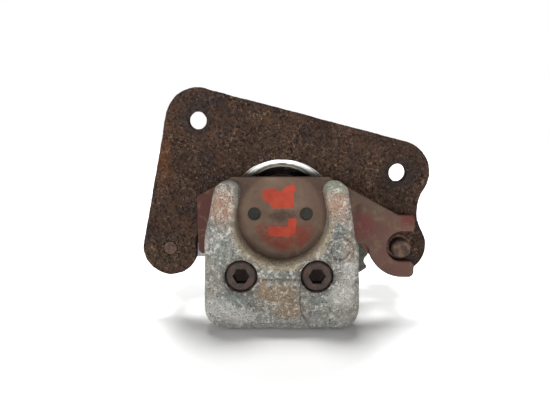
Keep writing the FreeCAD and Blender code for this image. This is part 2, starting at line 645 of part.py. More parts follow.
def bleeder_screw():
    r = BLEED_D / 2
    seat_z = BORE_Z + PISTON_R + 4.5
    hex_z = BLEED_BOSS_TOP + 0.6
    hex_top = hex_z + 5.0
    nipple_top = hex_top + 9.0
    body = turned_up([(0, seat_z + 0.2), (1.2, seat_z + 0.2), (r - 0.6, seat_z + 3.0), (r, seat_z + 3.6),
                      (r, hex_z), (2.6, hex_z), (2.6, nipple_top - 4.0), (NIPPLE_R, nipple_top - 3.0),
                      (2.4, nipple_top), (0, nipple_top)])
    corner = BLEED_AF / math.sqrt(3)
    corners = [V(BORE_X + corner * math.cos(math.radians(60 * i)),
                 BLEED_Y + corner * math.sin(math.radians(60 * i)), hex_z) for i in range(6)]
    nut = Part.Face(Part.makePolygon(corners + corners[:1])).extrude(V(0, 0, hex_top - hex_z))
    body = body.fuse(nut)
    body = body.cut(Part.makeCylinder(1.1, nipple_top - seat_z - 5.0, V(BORE_X, BLEED_Y, seat_z + 5.5)))
    return clean(body)


def bleeder_cap():
    """Rubber cap over the bleed screw's nipple."""
    hex_top = BLEED_BOSS_TOP + 5.6
    nipple_top = hex_top + 9.0
    bore = NIPPLE_R + RUN
    return turned_up([(bore, hex_top + 0.1), (5.2, hex_top + 0.1), (5.2, hex_top + 2.0), (4.7, hex_top + 2.5),
                      (4.7, nipple_top + 0.6), (3.4, nipple_top + 2.0), (0, nipple_top + 2.0),
                      (0, nipple_top + 0.1), (bore, nipple_top + 0.1)])


# ---- the sub-parts ---------------------------------------------------------------------------
def nodes():
    front_lining_face = LINING_T - PAD_GAP
    rear_back = REAR_PAD_Y + PAD_PLATE_T
    made = {
        "bracket_plate": bracket_plate(),
        "guide_pin_left": guide_pin_left(),
        "guide_pin_right": guide_pin_right(),
        "front_pad_plate": pad_plate(PAD_TOP, FRONT_PAD_Y),
        "front_pad_lining": lining(PAD_TOP, front_lining_face, -PAD_GAP, FRONT_PAD_Y),
        "rear_pad_plate": pad_plate(REAR_PAD_TOP, REAR_PAD_Y),
        "rear_pad_lining": lining(REAR_PAD_TOP, REAR_LINING_Y, REAR_PAD_Y, rear_back),
        "claw": claw(),
        "bridge_screws": bridge_screws(),
        "cylinder_housing": cylinder_housing(),
        "piston": piston(),
        "piston_seal": piston_seal(),
        "piston_dust_boot": piston_dust_boot(),
        "boot_ring": boot_ring(),
        "bleeder_screw": bleeder_screw(),
        "bleeder_cap": bleeder_cap(),
    }
    for side, centre in (("left", PIN_LEFT), ("right", PIN_RIGHT)):
        made["guide_bush_" + side] = guide_bush(centre)
        made["guide_cap_" + side] = guide_cap(centre)
        made["guide_boot_" + side] = guide_boot(centre)
    return made


os.makedirs("parts", exist_ok=True)
for name, shape in nodes().items():
    if not shape.isValid():
        raise ValueError(name + " is not a valid solid")
    shape.exportStep("parts/" + name + ".step")
    print(name, len(shape.Solids), round(shape.Volume, 1))
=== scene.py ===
"""Looks of the floating brake caliper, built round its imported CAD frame.

Lengths here are in millimetres and are multiplied by MM where Blender needs metres.
Frame: +Z up, +Y from the claw towards the cylinder, +X to the right seen from the claw.
"""
import json
import math

import bmesh
import bpy
import numpy as np
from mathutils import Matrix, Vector, noise

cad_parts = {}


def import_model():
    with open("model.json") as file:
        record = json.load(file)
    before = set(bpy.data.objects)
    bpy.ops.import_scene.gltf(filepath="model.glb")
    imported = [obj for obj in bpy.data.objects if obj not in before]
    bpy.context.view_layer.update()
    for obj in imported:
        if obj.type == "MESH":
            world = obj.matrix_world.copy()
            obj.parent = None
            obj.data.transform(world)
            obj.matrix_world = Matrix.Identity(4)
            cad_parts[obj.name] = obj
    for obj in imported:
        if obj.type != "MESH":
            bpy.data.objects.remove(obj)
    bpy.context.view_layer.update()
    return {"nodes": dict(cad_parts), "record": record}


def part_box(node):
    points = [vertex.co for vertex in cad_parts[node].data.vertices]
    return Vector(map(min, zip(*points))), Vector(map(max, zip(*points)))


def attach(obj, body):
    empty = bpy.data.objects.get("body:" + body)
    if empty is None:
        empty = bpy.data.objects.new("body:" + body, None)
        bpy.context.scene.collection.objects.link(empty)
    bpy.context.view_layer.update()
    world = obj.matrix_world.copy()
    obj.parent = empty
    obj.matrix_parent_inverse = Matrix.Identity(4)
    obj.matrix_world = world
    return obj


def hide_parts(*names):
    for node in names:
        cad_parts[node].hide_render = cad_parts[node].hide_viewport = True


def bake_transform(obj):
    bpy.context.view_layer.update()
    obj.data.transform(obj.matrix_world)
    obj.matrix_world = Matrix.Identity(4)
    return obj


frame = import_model()
MM = 0.001


# ---- places, from the frame -----------------------------------------------------------------
def span(node):
    """Lowest and highest corners of a CAD node, in mm."""
    low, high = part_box(node)
    return low / MM, high / MM


PISTON_LOW, PISTON_HIGH = span("piston")
CLAW_LOW, CLAW_HIGH = span("claw")
PIN_LEFT_LOW, PIN_LEFT_HIGH = span("guide_pin_left")
PIN_RIGHT_LOW, PIN_RIGHT_HIGH = span("guide_pin_right")
SCREWS_LOW, SCREWS_HIGH = span("bridge_screws")
BASE_Z = CLAW_LOW.z
BOLTS = next(m for m in frame["record"]["mounts"] if m["name"] == "bracket_bolts")
BOLT_REACH = BOLTS["dims"]["pcd_mm"] / 2
BORE_X = (PISTON_LOW.x + PISTON_HIGH.x) / 2
BORE_Z = (PISTON_LOW.z + PISTON_HIGH.z) / 2
PISTON_R = (PISTON_HIGH.x - PISTON_LOW.x) / 2
RING_Y = PISTON_LOW.y + 0.8

BUSH_R = 7.5               # outside of a guide pin's bush
PIN_HOLE_R = 6.2           # narrower hole in front of the bush
SPIGOT_R = 8.1             # collar of an ear, which holds the guide boot
BOOT_ROOM = 5.8            # radial room for the dust boot round the piston
RING_REACH = 13.8          # the machined ring ends this far outside the piston
HEAD_R = 8.0               # head of a bridge screw
SCREW_X = [SCREWS_LOW.x + HEAD_R, SCREWS_HIGH.x - HEAD_R]
SCREW_Z = (SCREWS_LOW.z + SCREWS_HIGH.z) / 2
SCREW_HOLE_R = 5.05
SEAT_R = 9.6               # skin kept true round a bridge screw's counterbore
BLEED_BORE_R = 4.3         # bleed screw's bore in the housing's skin
BOLT_TILT = 14.5           # the line of the bracket's bolts falls to the right by this many degrees
CORNER_R = 17.0            # the claw's lower corners
ROLL_R = 8.0               # where the claw's front rolls into its underside
RAISED = 0.6               # height of the claw's raised marks
PATCH_X = BORE_X - 0.6     # the raised patch between and below the screws
PATCH_LOW = BASE_Z + 6.6
PATCH_HIGH = BASE_Z + 30.3
PATCH_HALF = 10.2
PATCH_FOOT = 3.6           # how much wider it is at its foot
RING_X = BORE_X + 30.8     # the raised ring at the right
RING_Z = BORE_Z - 13.2
RING_MARK_R = 5.85


# ---- material graphs -------------------------------------------------------------------------
class Graph:
    """A node material, built up by short calls. Coordinates are the object's own, in mm."""

    def __init__(self, name, metallic=0.0, specular=0.5):
        self.material = bpy.data.materials.new(name)
        self.material.use_nodes = True
        self.tree = self.material.node_tree
        self.tree.nodes.clear()
        self.shader = self.tree.nodes.new("ShaderNodeBsdfPrincipled")
        out = self.tree.nodes.new("ShaderNodeOutputMaterial")
        self.tree.links.new(self.shader.outputs["BSDF"], out.inputs["Surface"])
        self.shader.inputs["Metallic"].default_value = metallic
        self.shader.inputs["Specular IOR Level"].default_value = specular
        place = self.tree.nodes.new("ShaderNodeTexCoord")
        scaled = self.tree.nodes.new("ShaderNodeVectorMath")
        scaled.operation = "SCALE"
        scaled.inputs["Scale"].default_value = 1 / MM
        self.tree.links.new(place.outputs["Object"], scaled.inputs[0])
        self.here = scaled.outputs["Vector"]
        split = self.tree.nodes.new("ShaderNodeSeparateXYZ")
        self.tree.links.new(self.here, split.inputs[0])
        self.x, self.y, self.z = split.outputs

    def link(self, value, socket):
        if isinstance(value, bpy.types.NodeSocket):
            self.tree.links.new(value, socket)
        elif hasattr(value, "__len__") and len(value) == 3 and socket.type == "RGBA":
            socket.default_value = (*value, 1.0)
        else:
            socket.default_value = value

    def math(self, operation, a, b=0.0):
        node = self.tree.nodes.new("ShaderNodeMath")
        node.operation = operation
        self.link(a, node.inputs[0])
        self.link(b, node.inputs[1])
        return node.outputs[0]

    def noise(self, size, detail=4.0, rough=0.55, warp=0.0, stretch=(1, 1, 1), seed=0.0):
        """Noise from 0 to 1 whose features are about size mm across."""
        mapping = self.tree.nodes.new("ShaderNodeMapping")
        mapping.inputs["Scale"].default_value = [s / size for s in stretch]
        mapping.inputs["Location"].default_value = (seed, seed * 1.7, seed * 0.6)
        self.tree.links.new(self.here, mapping.inputs["Vector"])
        node = self.tree.nodes.new("ShaderNodeTexNoise")
        node.inputs["Scale"].default_value = 1.0
        node.inputs["Detail"].default_value = detail
        node.inputs["Roughness"].default_value = rough
        node.inputs["Distortion"].default_value = warp
        self.tree.links.new(mapping.outputs["Vector"], node.inputs["Vector"])
        return node.outputs["Fac"]

    def cells(self, size, seed=0.0):
        """Distance to the nearest of scattered points about size mm apart."""
        mapping = self.tree.nodes.new("ShaderNodeMapping")
        mapping.inputs["Location"].default_value = (seed, seed * 0.7, seed * 1.3)
        mapping.inputs["Scale"].default_value = (1 / size,) * 3
        self.tree.links.new(self.here, mapping.inputs["Vector"])
        node = self.tree.nodes.new("ShaderNodeTexVoronoi")
        node.inputs["Scale"].default_value = 1.0
        self.tree.links.new(mapping.outputs["Vector"], node.inputs["Vector"])
        return node.outputs["Distance"]

    def step(self, value, low, high):
        """0 below low, 1 above high, smooth between. Low may be above high, to turn it round."""
        node = self.tree.nodes.new("ShaderNodeMapRange")
        node.interpolation_type = "SMOOTHSTEP"
        flip = low > high
        node.inputs["From Min"].default_value = min(low, high)
        node.inputs["From Max"].default_value = max(low, high)
        node.inputs["To Min"].default_value = 1.0 if flip else 0.0
        node.inputs["To Max"].default_value = 0.0 if flip else 1.0
        self.link(value, node.inputs["Value"])
        return node.outputs["Result"]

    def scale(self, value, low, high):
        """A value from 0 to 1 spread between low and high."""
        node = self.tree.nodes.new("ShaderNodeMapRange")
        node.inputs["To Min"].default_value = low
        node.inputs["To Max"].default_value = high
        self.link(value, node.inputs["Value"])
        return node.outputs["Result"]

    def mix(self, mask, a, b):
        """Colour a where the mask is 0 and b where it is 1."""
        node = self.tree.nodes.new("ShaderNodeMix")
        node.data_type = "RGBA"
        node.clamp_factor = True
        colours = [s for s in node.inputs if s.type == "RGBA"]
        self.link(mask, node.inputs[0])
        self.link(a, colours[0])
        self.link(b, colours[1])
        return [s for s in node.outputs if s.type == "RGBA"][0]

    def both(self, a, b):
        """Product of two masks."""
        return self.math("MULTIPLY", a, b)

    def either(self, a, b):
        """The larger of two masks."""
        return self.math("MAXIMUM", a, b)

    def blot(self, x, z, rx, rz, edge=0.35, wobble=0.35, size=3.0, seed=0.0):
        """A soft ragged spot on the faces that look along Y: 1 inside, 0 outside."""
        u = self.math("DIVIDE", self.math("SUBTRACT", self.x, x), rx)
        v = self.math("DIVIDE", self.math("SUBTRACT", self.z, z), rz)
        r = self.math("SQRT", self.math("ADD", self.both(u, u), self.both(v, v)))
        ragged = self.scale(self.noise(size, 4.0, 0.6, seed=seed), -wobble, wobble)
        return self.step(self.math("ADD", r, ragged), 1.0 + edge, 1.0 - edge)

    def brush(self, x, z, half_x, half_z, angle=0.0, edge=0.5, wobble=0.8, size=2.5, seed=0.0):
        """A ragged rectangle of paint on the faces that look along Y."""
        c, s = math.cos(math.radians(angle)), math.sin(math.radians(angle))
        dx = self.math("SUBTRACT", self.x, x)
        dz = self.math("SUBTRACT", self.z, z)
        u = self.math("ADD", self.math("MULTIPLY", dx, c), self.math("MULTIPLY", dz, s))
        v = self.math("SUBTRACT", self.math("MULTIPLY", dz, c), self.math("MULTIPLY", dx, s))
        out_u = self.math("SUBTRACT", self.math("ABSOLUTE", u), half_x)
        out_v = self.math("SUBTRACT", self.math("ABSOLUTE", v), half_z)
        ragged = self.scale(self.noise(size, 3.0, 0.5, seed=seed), -wobble, wobble)
        return self.step(self.math("ADD", self.math("MAXIMUM", out_u, out_v), ragged), edge, -edge)

    def radius(self, x, z):
        """Distance in mm from an axis along Y."""
        dx = self.math("SUBTRACT", self.x, x)
        dz = self.math("SUBTRACT", self.z, z)
        return self.math("SQRT", self.math("ADD", self.both(dx, dx), self.both(dz, dz)))

    def finish(self, colour, rough, bump=None, depth=0.1, metal=None):
        """Connects colour, roughness, metal where it varies, and a bump whose full height is depth mm."""
        if metal is not None:
            self.link(metal, self.shader.inputs["Metallic"])
        self.link(colour, self.shader.inputs["Base Color"])
        self.link(rough, self.shader.inputs["Roughness"])
        if bump is not None:
            node = self.tree.nodes.new("ShaderNodeBump")
            node.inputs["Strength"].default_value = 1.0
            node.inputs["Distance"].default_value = depth * MM
            self.link(bump, node.inputs["Height"])
            self.tree.links.new(node.outputs["Normal"], self.shader.inputs["Normal"])
        return self.material


def rgb(r, g, b):
    """A colour as it looks on a screen, 0 to 255, in linear light."""
    return tuple(((c / 255 + 0.055) / 1.055) ** 2.4 if c > 10 else c / 255 / 12.92 for c in (r, g, b))


# ---- materials -------------------------------------------------------------------------------
def rusted_steel():
    """Old plate: dark brown oxide, tan and orange specks, cleaner dark rings round the bolt holes."""
    g = Graph("rusted_steel", specular=0.1)
    wide = g.noise(26.0, 3.0, 0.5, seed=2.0)
    middle = g.noise(7.0, 5.0, 0.65, seed=5.0)
    base = g.mix(g.step(wide, 0.38, 0.62), rgb(50, 38, 33), rgb(65, 50, 42))
    base = g.mix(g.both(g.step(middle, 0.52, 0.7), g.scale(wide, 0.2, 0.9)), base, rgb(84, 60, 44))
    cool = g.noise(15.0, 3.0, 0.6, seed=11.0)
    base = g.mix(g.both(g.step(cool, 0.5, 0.68), g.scale(middle, 0.3, 0.9)), base, rgb(46, 40, 42))
    density = g.step(g.noise(16.0, 3.0, seed=8.0), 0.34, 0.6)
    specks = g.noise(2.2, 6.0, 0.85, 0.8, seed=3.0)
    tan = g.both(g.step(specks, 0.52, 0.66), g.scale(density, 0.25, 1.0))
    base = g.mix(tan, base, rgb(128, 103, 79))
    fleck = g.both(g.step(g.noise(1.0, 3.0, 0.8, seed=41.0), 0.6, 0.7), g.scale(density, 0.1, 0.7))
    base = g.mix(fleck, base, rgb(158, 136, 108))
    red = g.both(g.step(g.noise(3.2, 5.0, 0.7, seed=21.0), 0.55, 0.66), g.step(wide, 0.4, 0.6))
    base = g.mix(g.both(red, g.scale(specks, 0.3, 0.8)), base, rgb(80, 45, 33))
    pits = g.step(g.noise(1.6, 5.0, 0.85, seed=31.0), 0.48, 0.36)
    base = g.mix(g.both(pits, g.scale(density, 0.55, 0.95)), base, rgb(24, 18, 17))
    streak = g.blot(-76.0, -4.0, 4.0, 15.0, 0.8, 0.7, 5.0, 4.0)
    base = g.mix(g.both(streak, g.scale(middle, -0.2, 0.8)), base, rgb(116, 74, 44))
    fall = math.radians(-BOLT_TILT)
    for reach in (-BOLT_REACH, BOLT_REACH):
        hole = g.radius(reach * math.cos(fall), reach * math.sin(fall))
        ring = g.step(g.math("ADD", hole, g.scale(middle, -2.6, 2.6)), 11.0, 7.0)
        base = g.mix(g.both(ring, g.scale(specks, 1.0, 0.4)), base, rgb(50, 43, 41))
    rough = g.scale(specks, 0.95, 0.7)
    height = g.math("ADD", g.math("MULTIPLY", specks, 0.8), g.math("MULTIPLY", pits, -0.6))
    height = g.math("ADD", height, g.math("MULTIPLY", middle, 0.8))
    return g.finish(base, rough, height, 0.5)


def cast_aluminium(name, worn):
    """Rough grey casting with dark pores and pale mottle painted as highlights: the worn claw, or else the
    housing.
    """
    g = Graph(name, metallic=0.1, specular=0.35)
    wide = g.noise(22.0, 3.0, 0.5, seed=1.0)
    middle = g.noise(5.0, 5.0, 0.6, seed=6.0)
    grain = g.noise(0.9, 5.0, 0.8, seed=9.0)
    base = g.mix(g.step(wide, 0.38, 0.62), rgb(116, 116, 110), rgb(138, 134, 125))
    base = g.mix(g.both(g.step(middle, 0.48, 0.66), g.scale(wide, 0.3, 0.8)), base, rgb(116, 121, 115))
    mottle = g.noise(2.6, 6.0, 0.8, 0.5, seed=27.0)
    base = g.mix(g.both(g.step(mottle, 0.48, 0.37), 0.85), base, rgb(78, 77, 71))
    if worn:
        base = claw_stains_and_painted_light(g, base, middle, grain)
    # painted highlight: pale mottle that stands in for the casting's metallic glints
    light = g.both(g.step(mottle, 0.5, 0.62), g.scale(grain, 0.2, 1.3))
    base = g.mix(light, base, rgb(206, 201, 192))
    patches = g.step(g.noise(11.0, 3.0, 0.6, seed=17.0), 0.38, 0.6)
    pores = g.step(g.noise(0.8, 4.0, 0.75, seed=14.0), 0.46, 0.36)
    dark = g.both(pores, g.scale(patches, 0.55, 1.0))
    base = g.mix(dark, base, rgb(58, 57, 53))
    specks = g.both(g.step(g.cells(2.6, 5.0), 0.2, 0.11), g.step(middle, 0.36, 0.5))
    base = g.mix(g.both(specks, 0.8), base, rgb(52, 46, 41))
    metal = None
    rough = g.scale(grain, 0.75, 0.5)
    height = g.math("ADD", g.math("MULTIPLY", grain, 0.5), g.math("MULTIPLY", dark, -0.7))
    height = g.math("ADD", height, g.math("MULTIPLY", mottle, 1.2))
    if not worn:
        base, turned = housing_faces(g, base, middle, grain)
        metal = g.scale(turned, 0.1, 0.2)
        rough = g.mix(turned, rough, (0.3, 0.3, 0.3))
        height = g.both(height, g.math("SUBTRACT", 1.0, turned))
    return g.finish(base, rough, height, 0.42, metal)


def claw_stains_and_painted_light(g, base, middle, grain):
    """Where the claw is pink, blue-green, yellow, brown and pale, with painted light: lighter towards its
    lower edge, on the U's lower wall and on a finger tip; and painted shade round the screw heads and along
    the foot of the raised ring.
    """
    fine = g.scale(grain, -0.35, 1.35)
    # painted light: the claw turns lighter grey over its lowest 16 mm, where its front rolls under
    low = g.step(g.z, BASE_Z + 16.0, BASE_Z + 3.0)
    base = g.mix(g.both(low, 0.55), base, rgb(150, 151, 149))
    for x, z, seed in ((-40.5, -31.0, 3.0), (19.0, -29.5, 7.0)):
        pink = g.blot(x, z, 6.5, 10.0, 0.6, 0.6, 3.0, seed)
        base = g.mix(g.both(pink, fine), base, rgb(172, 124, 95))
    # partly painted light: a blue-green stain on the right finger's tip, made lighter as the lit top of the
    # finger
    tip = g.blot(18.5, -20.5, 5.5, 3.0, 0.5, 0.4, 2.5, 2.0)
    base = g.mix(g.both(tip, fine), base, rgb(138, 158, 134))
    for x, z, rx, rz, seed in ((-10.0, -66.0, 13.0, 3.4, 1.0), (-42.0, -52.0, 7.0, 12.0, 5.0),
                               (12.0, -80.0, 9.0, 3.4, 8.0), (18.0, -42.0, 5.0, 6.0, 13.0),
                               (-36.0, -82.0, 10.0, 5.0, 16.0)):
        teal = g.blot(x, z, rx, rz, 0.6, 0.6, 4.0, seed)
        base = g.mix(g.both(teal, g.scale(grain, 0.2, 1.0)), base, rgb(106, 114, 111))
    # partly painted light: a yellowish tint on the U's lower wall, made lighter where that wall faces up to
    # the light
    near_u = g.step(g.radius(BORE_X, BORE_Z + 2.2), 29.0, 26.0)
    below = g.step(g.z, -30.0, -46.0)
    yellow_and_painted_light = g.both(g.both(near_u, below), g.scale(middle, 0.5, 1.0))
    base = g.mix(yellow_and_painted_light, base, rgb(162, 148, 120))
    for x, z, rx, rz, seed in ((-44.0, -86.0, 8.0, 6.0, 2.0), (22.0, -77.0, 7.0, 8.0, 9.0),
                               (-30.0, -90.0, 8.0, 4.0, 4.0), (27.0, -62.0, 4.0, 10.0, 6.0)):
        pale = g.blot(x, z, rx, rz, 0.5, 0.6, 3.0, seed)
        base = g.mix(g.both(pale, fine), base, rgb(188, 187, 181))
    for x, z, rx, rz, seed in ((-11.0, -77.0, 10.5, 6.0, 6.0), (-5.0, -86.0, 8.0, 5.0, 12.0),
                               (-19.5, -73.0, 2.5, 5.0, 15.0), (27.0, -53.0, 3.0, 8.0, 18.0)):
        brown = g.blot(x, z, rx, rz, 0.5, 0.7, 3.5, seed)
        base = g.mix(g.both(brown, g.scale(grain, 0.2, 1.0)), base, rgb(132, 106, 76))
    # painted shade: dark lines along both feet of the raised ring
    mark = g.radius(RING_X, RING_Z)
    painted_foot_shade = g.either(g.both(g.step(mark, 4.2, 4.8), g.step(mark, 5.4, 5.0)),
                    g.both(g.step(mark, 6.3, 6.8), g.step(mark, 7.8, 7.1)))
    base = g.mix(g.both(painted_foot_shade, g.scale(middle, 0.3, 0.9)), base, rgb(92, 90, 84))
    # painted shade: darker round each bridge screw's head, in and just outside its counterbore
    for x in SCREW_X:
        away = g.math("ADD", g.radius(x, SCREW_Z), g.scale(middle, -1.8, 1.8))
        painted_seat_shade = g.step(away, 12.5, 8.4)
        base = g.mix(g.both(painted_seat_shade, g.scale(grain, 0.6, 1.0)), base, rgb(74, 66, 62))
    return base


def housing_faces(g, base, middle, grain):
    """Oily dirt behind the disc, painted shade on the right ear, on the bridge under the pads and on the
    ring's inner chamfer, and the bright machined ring. Gives the colour and the ring's mask.
    """
    r = g.radius(BORE_X, BORE_Z)
    front = g.step(g.y, RING_Y + 1.8, RING_Y + 1.1)
    turned = g.both(front, g.both(g.step(r, 26.0, 26.5), g.step(r, 36.4, 36.2)))
    clean = g.mix(g.both(grain, 0.3), rgb(226, 224, 220), rgb(196, 193, 189))
    line = g.both(g.step(r, 31.0, 31.3), g.step(r, 32.0, 31.7))
    clean = g.mix(g.both(line, g.scale(middle, 0.5, 1.0)), clean, rgb(128, 126, 122))
    # painted shade: the ring greyer inside about 30.5 mm, standing for its inner chamfer turned from the
    # light
    painted_chamfer_shade = g.both(g.step(r, 30.8, 30.2), g.scale(middle, 0.4, 0.9))
    clean = g.mix(painted_chamfer_shade, clean, rgb(150, 152, 150))
    dirt = g.both(g.step(g.noise(16.0, 4.0, 0.6, seed=23.0), 0.42, 0.66), g.step(g.y, 30.0, 36.0))
    base = g.mix(g.both(dirt, 0.75), base, rgb(84, 80, 66))
    # painted shade: darker olive on the housing's right ear below the pad, where the claw shades it
    right = g.both(g.step(g.x, 26.0, 34.0), g.step(g.z, -40.0, -55.0))
    base = g.mix(g.both(right, g.scale(middle, 0.6, 1.0)), base, rgb(66, 66, 56))
    left = g.both(g.step(g.x, -52.0, -58.0), g.step(g.z, -60.0, -66.0))
    base = g.mix(g.both(left, g.scale(middle, 0.5, 0.9)), base, rgb(186, 188, 188))
    # painted shade: dark brown on the bridge in front of y = 30 mm, under the pads and behind the claw
    painted_bridge_shade = g.both(g.step(g.y, 33.0, 30.0), 0.8)
    base = g.mix(painted_bridge_shade, base, rgb(66, 56, 50))
    return g.mix(turned, base, clean), turned


def rusted_screw():
    g = Graph("rusted_screw", metallic=0.2, specular=0.3)
    middle = g.noise(3.5, 4.0, 0.6, seed=2.0)
    fine = g.noise(0.8, 4.0, 0.75, seed=7.0)
    base = g.mix(g.step(middle, 0.4, 0.65), rgb(56, 47, 44), rgb(76, 60, 52))
    base = g.mix(g.both(g.step(fine, 0.55, 0.7), g.scale(middle, 0.2, 0.9)), base, rgb(118, 94, 76))
    base = g.mix(g.step(fine, 0.42, 0.34), base, rgb(32, 25, 22))
    # painted shade: darker on the screw from 1.2 mm behind its face, down in the socket and the counterbore
    painted_recess_shade = g.step(g.y, SCREWS_LOW.y + 1.2, SCREWS_LOW.y + 3.0)
    base = g.mix(g.both(painted_recess_shade, 0.8), base, rgb(34, 25, 20))
    return g.finish(base, g.scale(fine, 0.85, 0.5), g.math("ADD", fine, middle), 0.22)


def pad_paint():
    """Backing plate: taupe skin over steel, orange-red paint, dull red sides and rusty wear."""
    g = Graph("pad_plate_paint", specular=0.12)
    wide = g.noise(20.0, 3.0, 0.5, seed=4.0)
    middle = g.noise(5.0, 4.0, 0.6, seed=9.0)
    fine = g.noise(1.0, 4.0, 0.7, seed=12.0)
    base = g.mix(g.step(wide, 0.38, 0.62), rgb(99, 80, 68), rgb(116, 96, 82))
    base = g.mix(g.both(g.step(middle, 0.5, 0.72), 0.6), base, rgb(92, 74, 64))
    front = g.step(g.y, 5.0, 3.0)
    left = g.step(g.math("ADD", g.x, g.scale(middle, -2.0, 2.0)), -45.5, -49.0)
    base = g.mix(g.both(left, g.scale(wide, 0.75, 1.0)), base, rgb(88, 38, 36))
    tongue = g.brush(33.5, -36.0, 1.5, 4.5, 0.0, 1.2, 1.2, 3.0, 6.0)
    base = g.mix(g.both(tongue, 0.75), base, rgb(96, 56, 48))
    under = g.blot(37.0, -44.0, 7.0, 7.5, 0.5, 0.4, 4.0, 3.0)
    base = g.mix(g.both(under, g.scale(middle, 0.6, 1.0)), base, rgb(128, 64, 60))
    hook = g.blot(58.0, -56.0, 19.0, 21.0, 0.35, 0.35, 6.0, 5.0)
    worn_hook = g.both(hook, g.scale(middle, 0.1, 1.0))
    base = g.mix(g.both(worn_hook, 0.85), base, rgb(134, 86, 78))
    tip = g.blot(62.5, -40.0, 4.5, 3.5, 0.5, 0.4, 3.0, 9.0)
    base = g.mix(tip, base, rgb(118, 58, 48))
    dull = g.both(g.blot(-7.5, -44.0, 15.5, 14.0, 0.12, 0.25, 6.0, 7.0), g.step(g.z, -41.0, -45.0))
    base = g.mix(g.both(g.both(dull, front), g.scale(middle, -0.2, 1.3)), base, rgb(122, 38, 24))
    shade = g.both(g.step(g.radius(BORE_X, BORE_Z + 2.9), 21.5, 24.5), front)
    base = g.mix(g.both(shade, 0.55), base, rgb(62, 44, 40))
    paint = g.brush(-11.2, -28.4, 8.6, 5.6, 1.0, 0.35, 1.3, 3.5, 2.0)
    notch = g.brush(-10.4, -21.2, 2.6, 2.6, 45.0, 0.3, 0.3, 2.0, 1.0)
    cut = g.brush(-21.3, -34.9, 4.4, 5.6, -38.0, 0.5, 0.9, 3.0, 5.0)
    ear = g.brush(-5.2, -23.2, 3.6, 2.2, 22.0, 0.3, 0.4, 2.0, 3.0)
    upper = g.either(paint, ear)
    upper = g.both(upper, g.math("SUBTRACT", 1.0, g.either(notch, cut)))
    lower = g.either(g.brush(-10.0, -47.2, 6.6, 2.7, 0.0, 0.25, 0.6, 2.5, 4.0),
                     g.brush(-3.6, -44.2, 2.4, 4.6, -8.0, 0.25, 0.5, 2.5, 8.0))
    orange = g.both(g.either(upper, lower), front)
    smudge = g.blot(-9.5, -38.5, 8.0, 3.4, 0.6, 0.8, 3.0, 14.0)
    base = g.mix(g.both(g.both(smudge, front), g.scale(fine, 0.2, 1.2)), base, rgb(62, 46, 40))
    olive = g.both(g.step(g.noise(7.0, 5.0, 0.7, 0.6, seed=33.0), 0.52, 0.62), front)
    base = g.mix(g.both(olive, 0.3), base, rgb(116, 104, 80))
    chips = g.step(g.noise(2.4, 3.0, 0.6, seed=19.0), 0.33, 0.28)
    orange = g.both(orange, g.math("SUBTRACT", 1.0, g.both(chips, 0.8)))
    bright = g.mix(g.step(middle, 0.4, 0.7), rgb(166, 58, 32), rgb(148, 44, 24))
    base = g.mix(orange, base, bright)
    scratches = g.noise(1.6, 3.0, 0.6, 0.4, (1, 1, 0.18), 15.0)
    base = g.mix(g.both(g.step(scratches, 0.62, 0.7), 0.35), base, rgb(84, 70, 62))
    specks = g.both(g.step(fine, 0.64, 0.74), 0.5)
    base = g.mix(specks, base, rgb(150, 126, 108))
    base = g.mix(g.both(g.step(fine, 0.36, 0.28), 0.6), base, rgb(54, 40, 35))
    rough = g.mix(orange, g.scale(fine, 0.75, 0.5), (0.42, 0.42, 0.42))
    height = g.math("ADD", g.math("MULTIPLY", middle, 0.5), g.math("MULTIPLY", fine, 0.35))
    height = g.math("ADD", height, g.math("MULTIPLY", orange, 0.25))
    return g.finish(base, rough, height, 0.18)


def friction_lining():
    g = Graph("friction_lining", specular=0.3)
    fine = g.noise(0.7, 3.0, 0.7, seed=3.0)
    middle = g.noise(4.0, 4.0, 0.6, seed=5.0)
    base = g.mix(middle, rgb(42, 43, 39), rgb(56, 56, 50))
    base = g.mix(g.step(g.cells(1.3, 2.0), 0.22, 0.12), base, rgb(99, 88, 63))
    base = g.mix(g.step(fine, 0.4, 0.32), base, rgb(26, 26, 25))
    return g.finish(base, g.scale(fine, 0.95, 0.75), g.math("ADD", fine, middle), 0.2)


def pin_steel():
    """Guide pins: rusty where they are bare, rubbed bright where the bushes run."""
    g = Graph("pin_steel", metallic=0.55, specular=0.4)
    middle = g.noise(4.0, 4.0, 0.6, seed=3.0)
    fine = g.noise(0.8, 4.0, 0.7, 0.0, (1, 0.5, 1), 6.0)
    rust = g.mix(g.step(middle, 0.4, 0.65), rgb(58, 44, 38), rgb(94, 70, 56))
    rust = g.mix(g.step(fine, 0.56, 0.7), rust, rgb(128, 100, 80))
    rust = g.mix(g.step(fine, 0.4, 0.33), rust, rgb(34, 26, 23))
    bright = g.mix(fine, rgb(148, 144, 138), rgb(112, 108, 104))
    bare = g.step(g.math("ADD", g.y, g.scale(middle, -3.0, 3.0)), 16.0, 26.0)
    base = g.mix(g.both(bare, g.step(middle, 0.7, 0.5)), rust, bright)
    return g.finish(base, g.scale(middle, 0.75, 0.4), g.math("ADD", middle, fine), 0.12)


def rubber(name, dust):
    g = Graph(name, specular=0.3)
    middle = g.noise(5.0, 4.0, 0.6, seed=1.0)
    fine = g.noise(0.6, 3.0, 0.6, seed=2.0)
    base = g.mix(middle, rgb(26, 25, 25), rgb(42, 40, 39))
    base = g.mix(g.both(g.step(g.both(middle, fine), 0.24, 0.36), dust), base, rgb(104, 92, 80))
    return g.finish(base, g.scale(middle, 0.85, 0.55), g.math("ADD", fine, middle), 0.06)


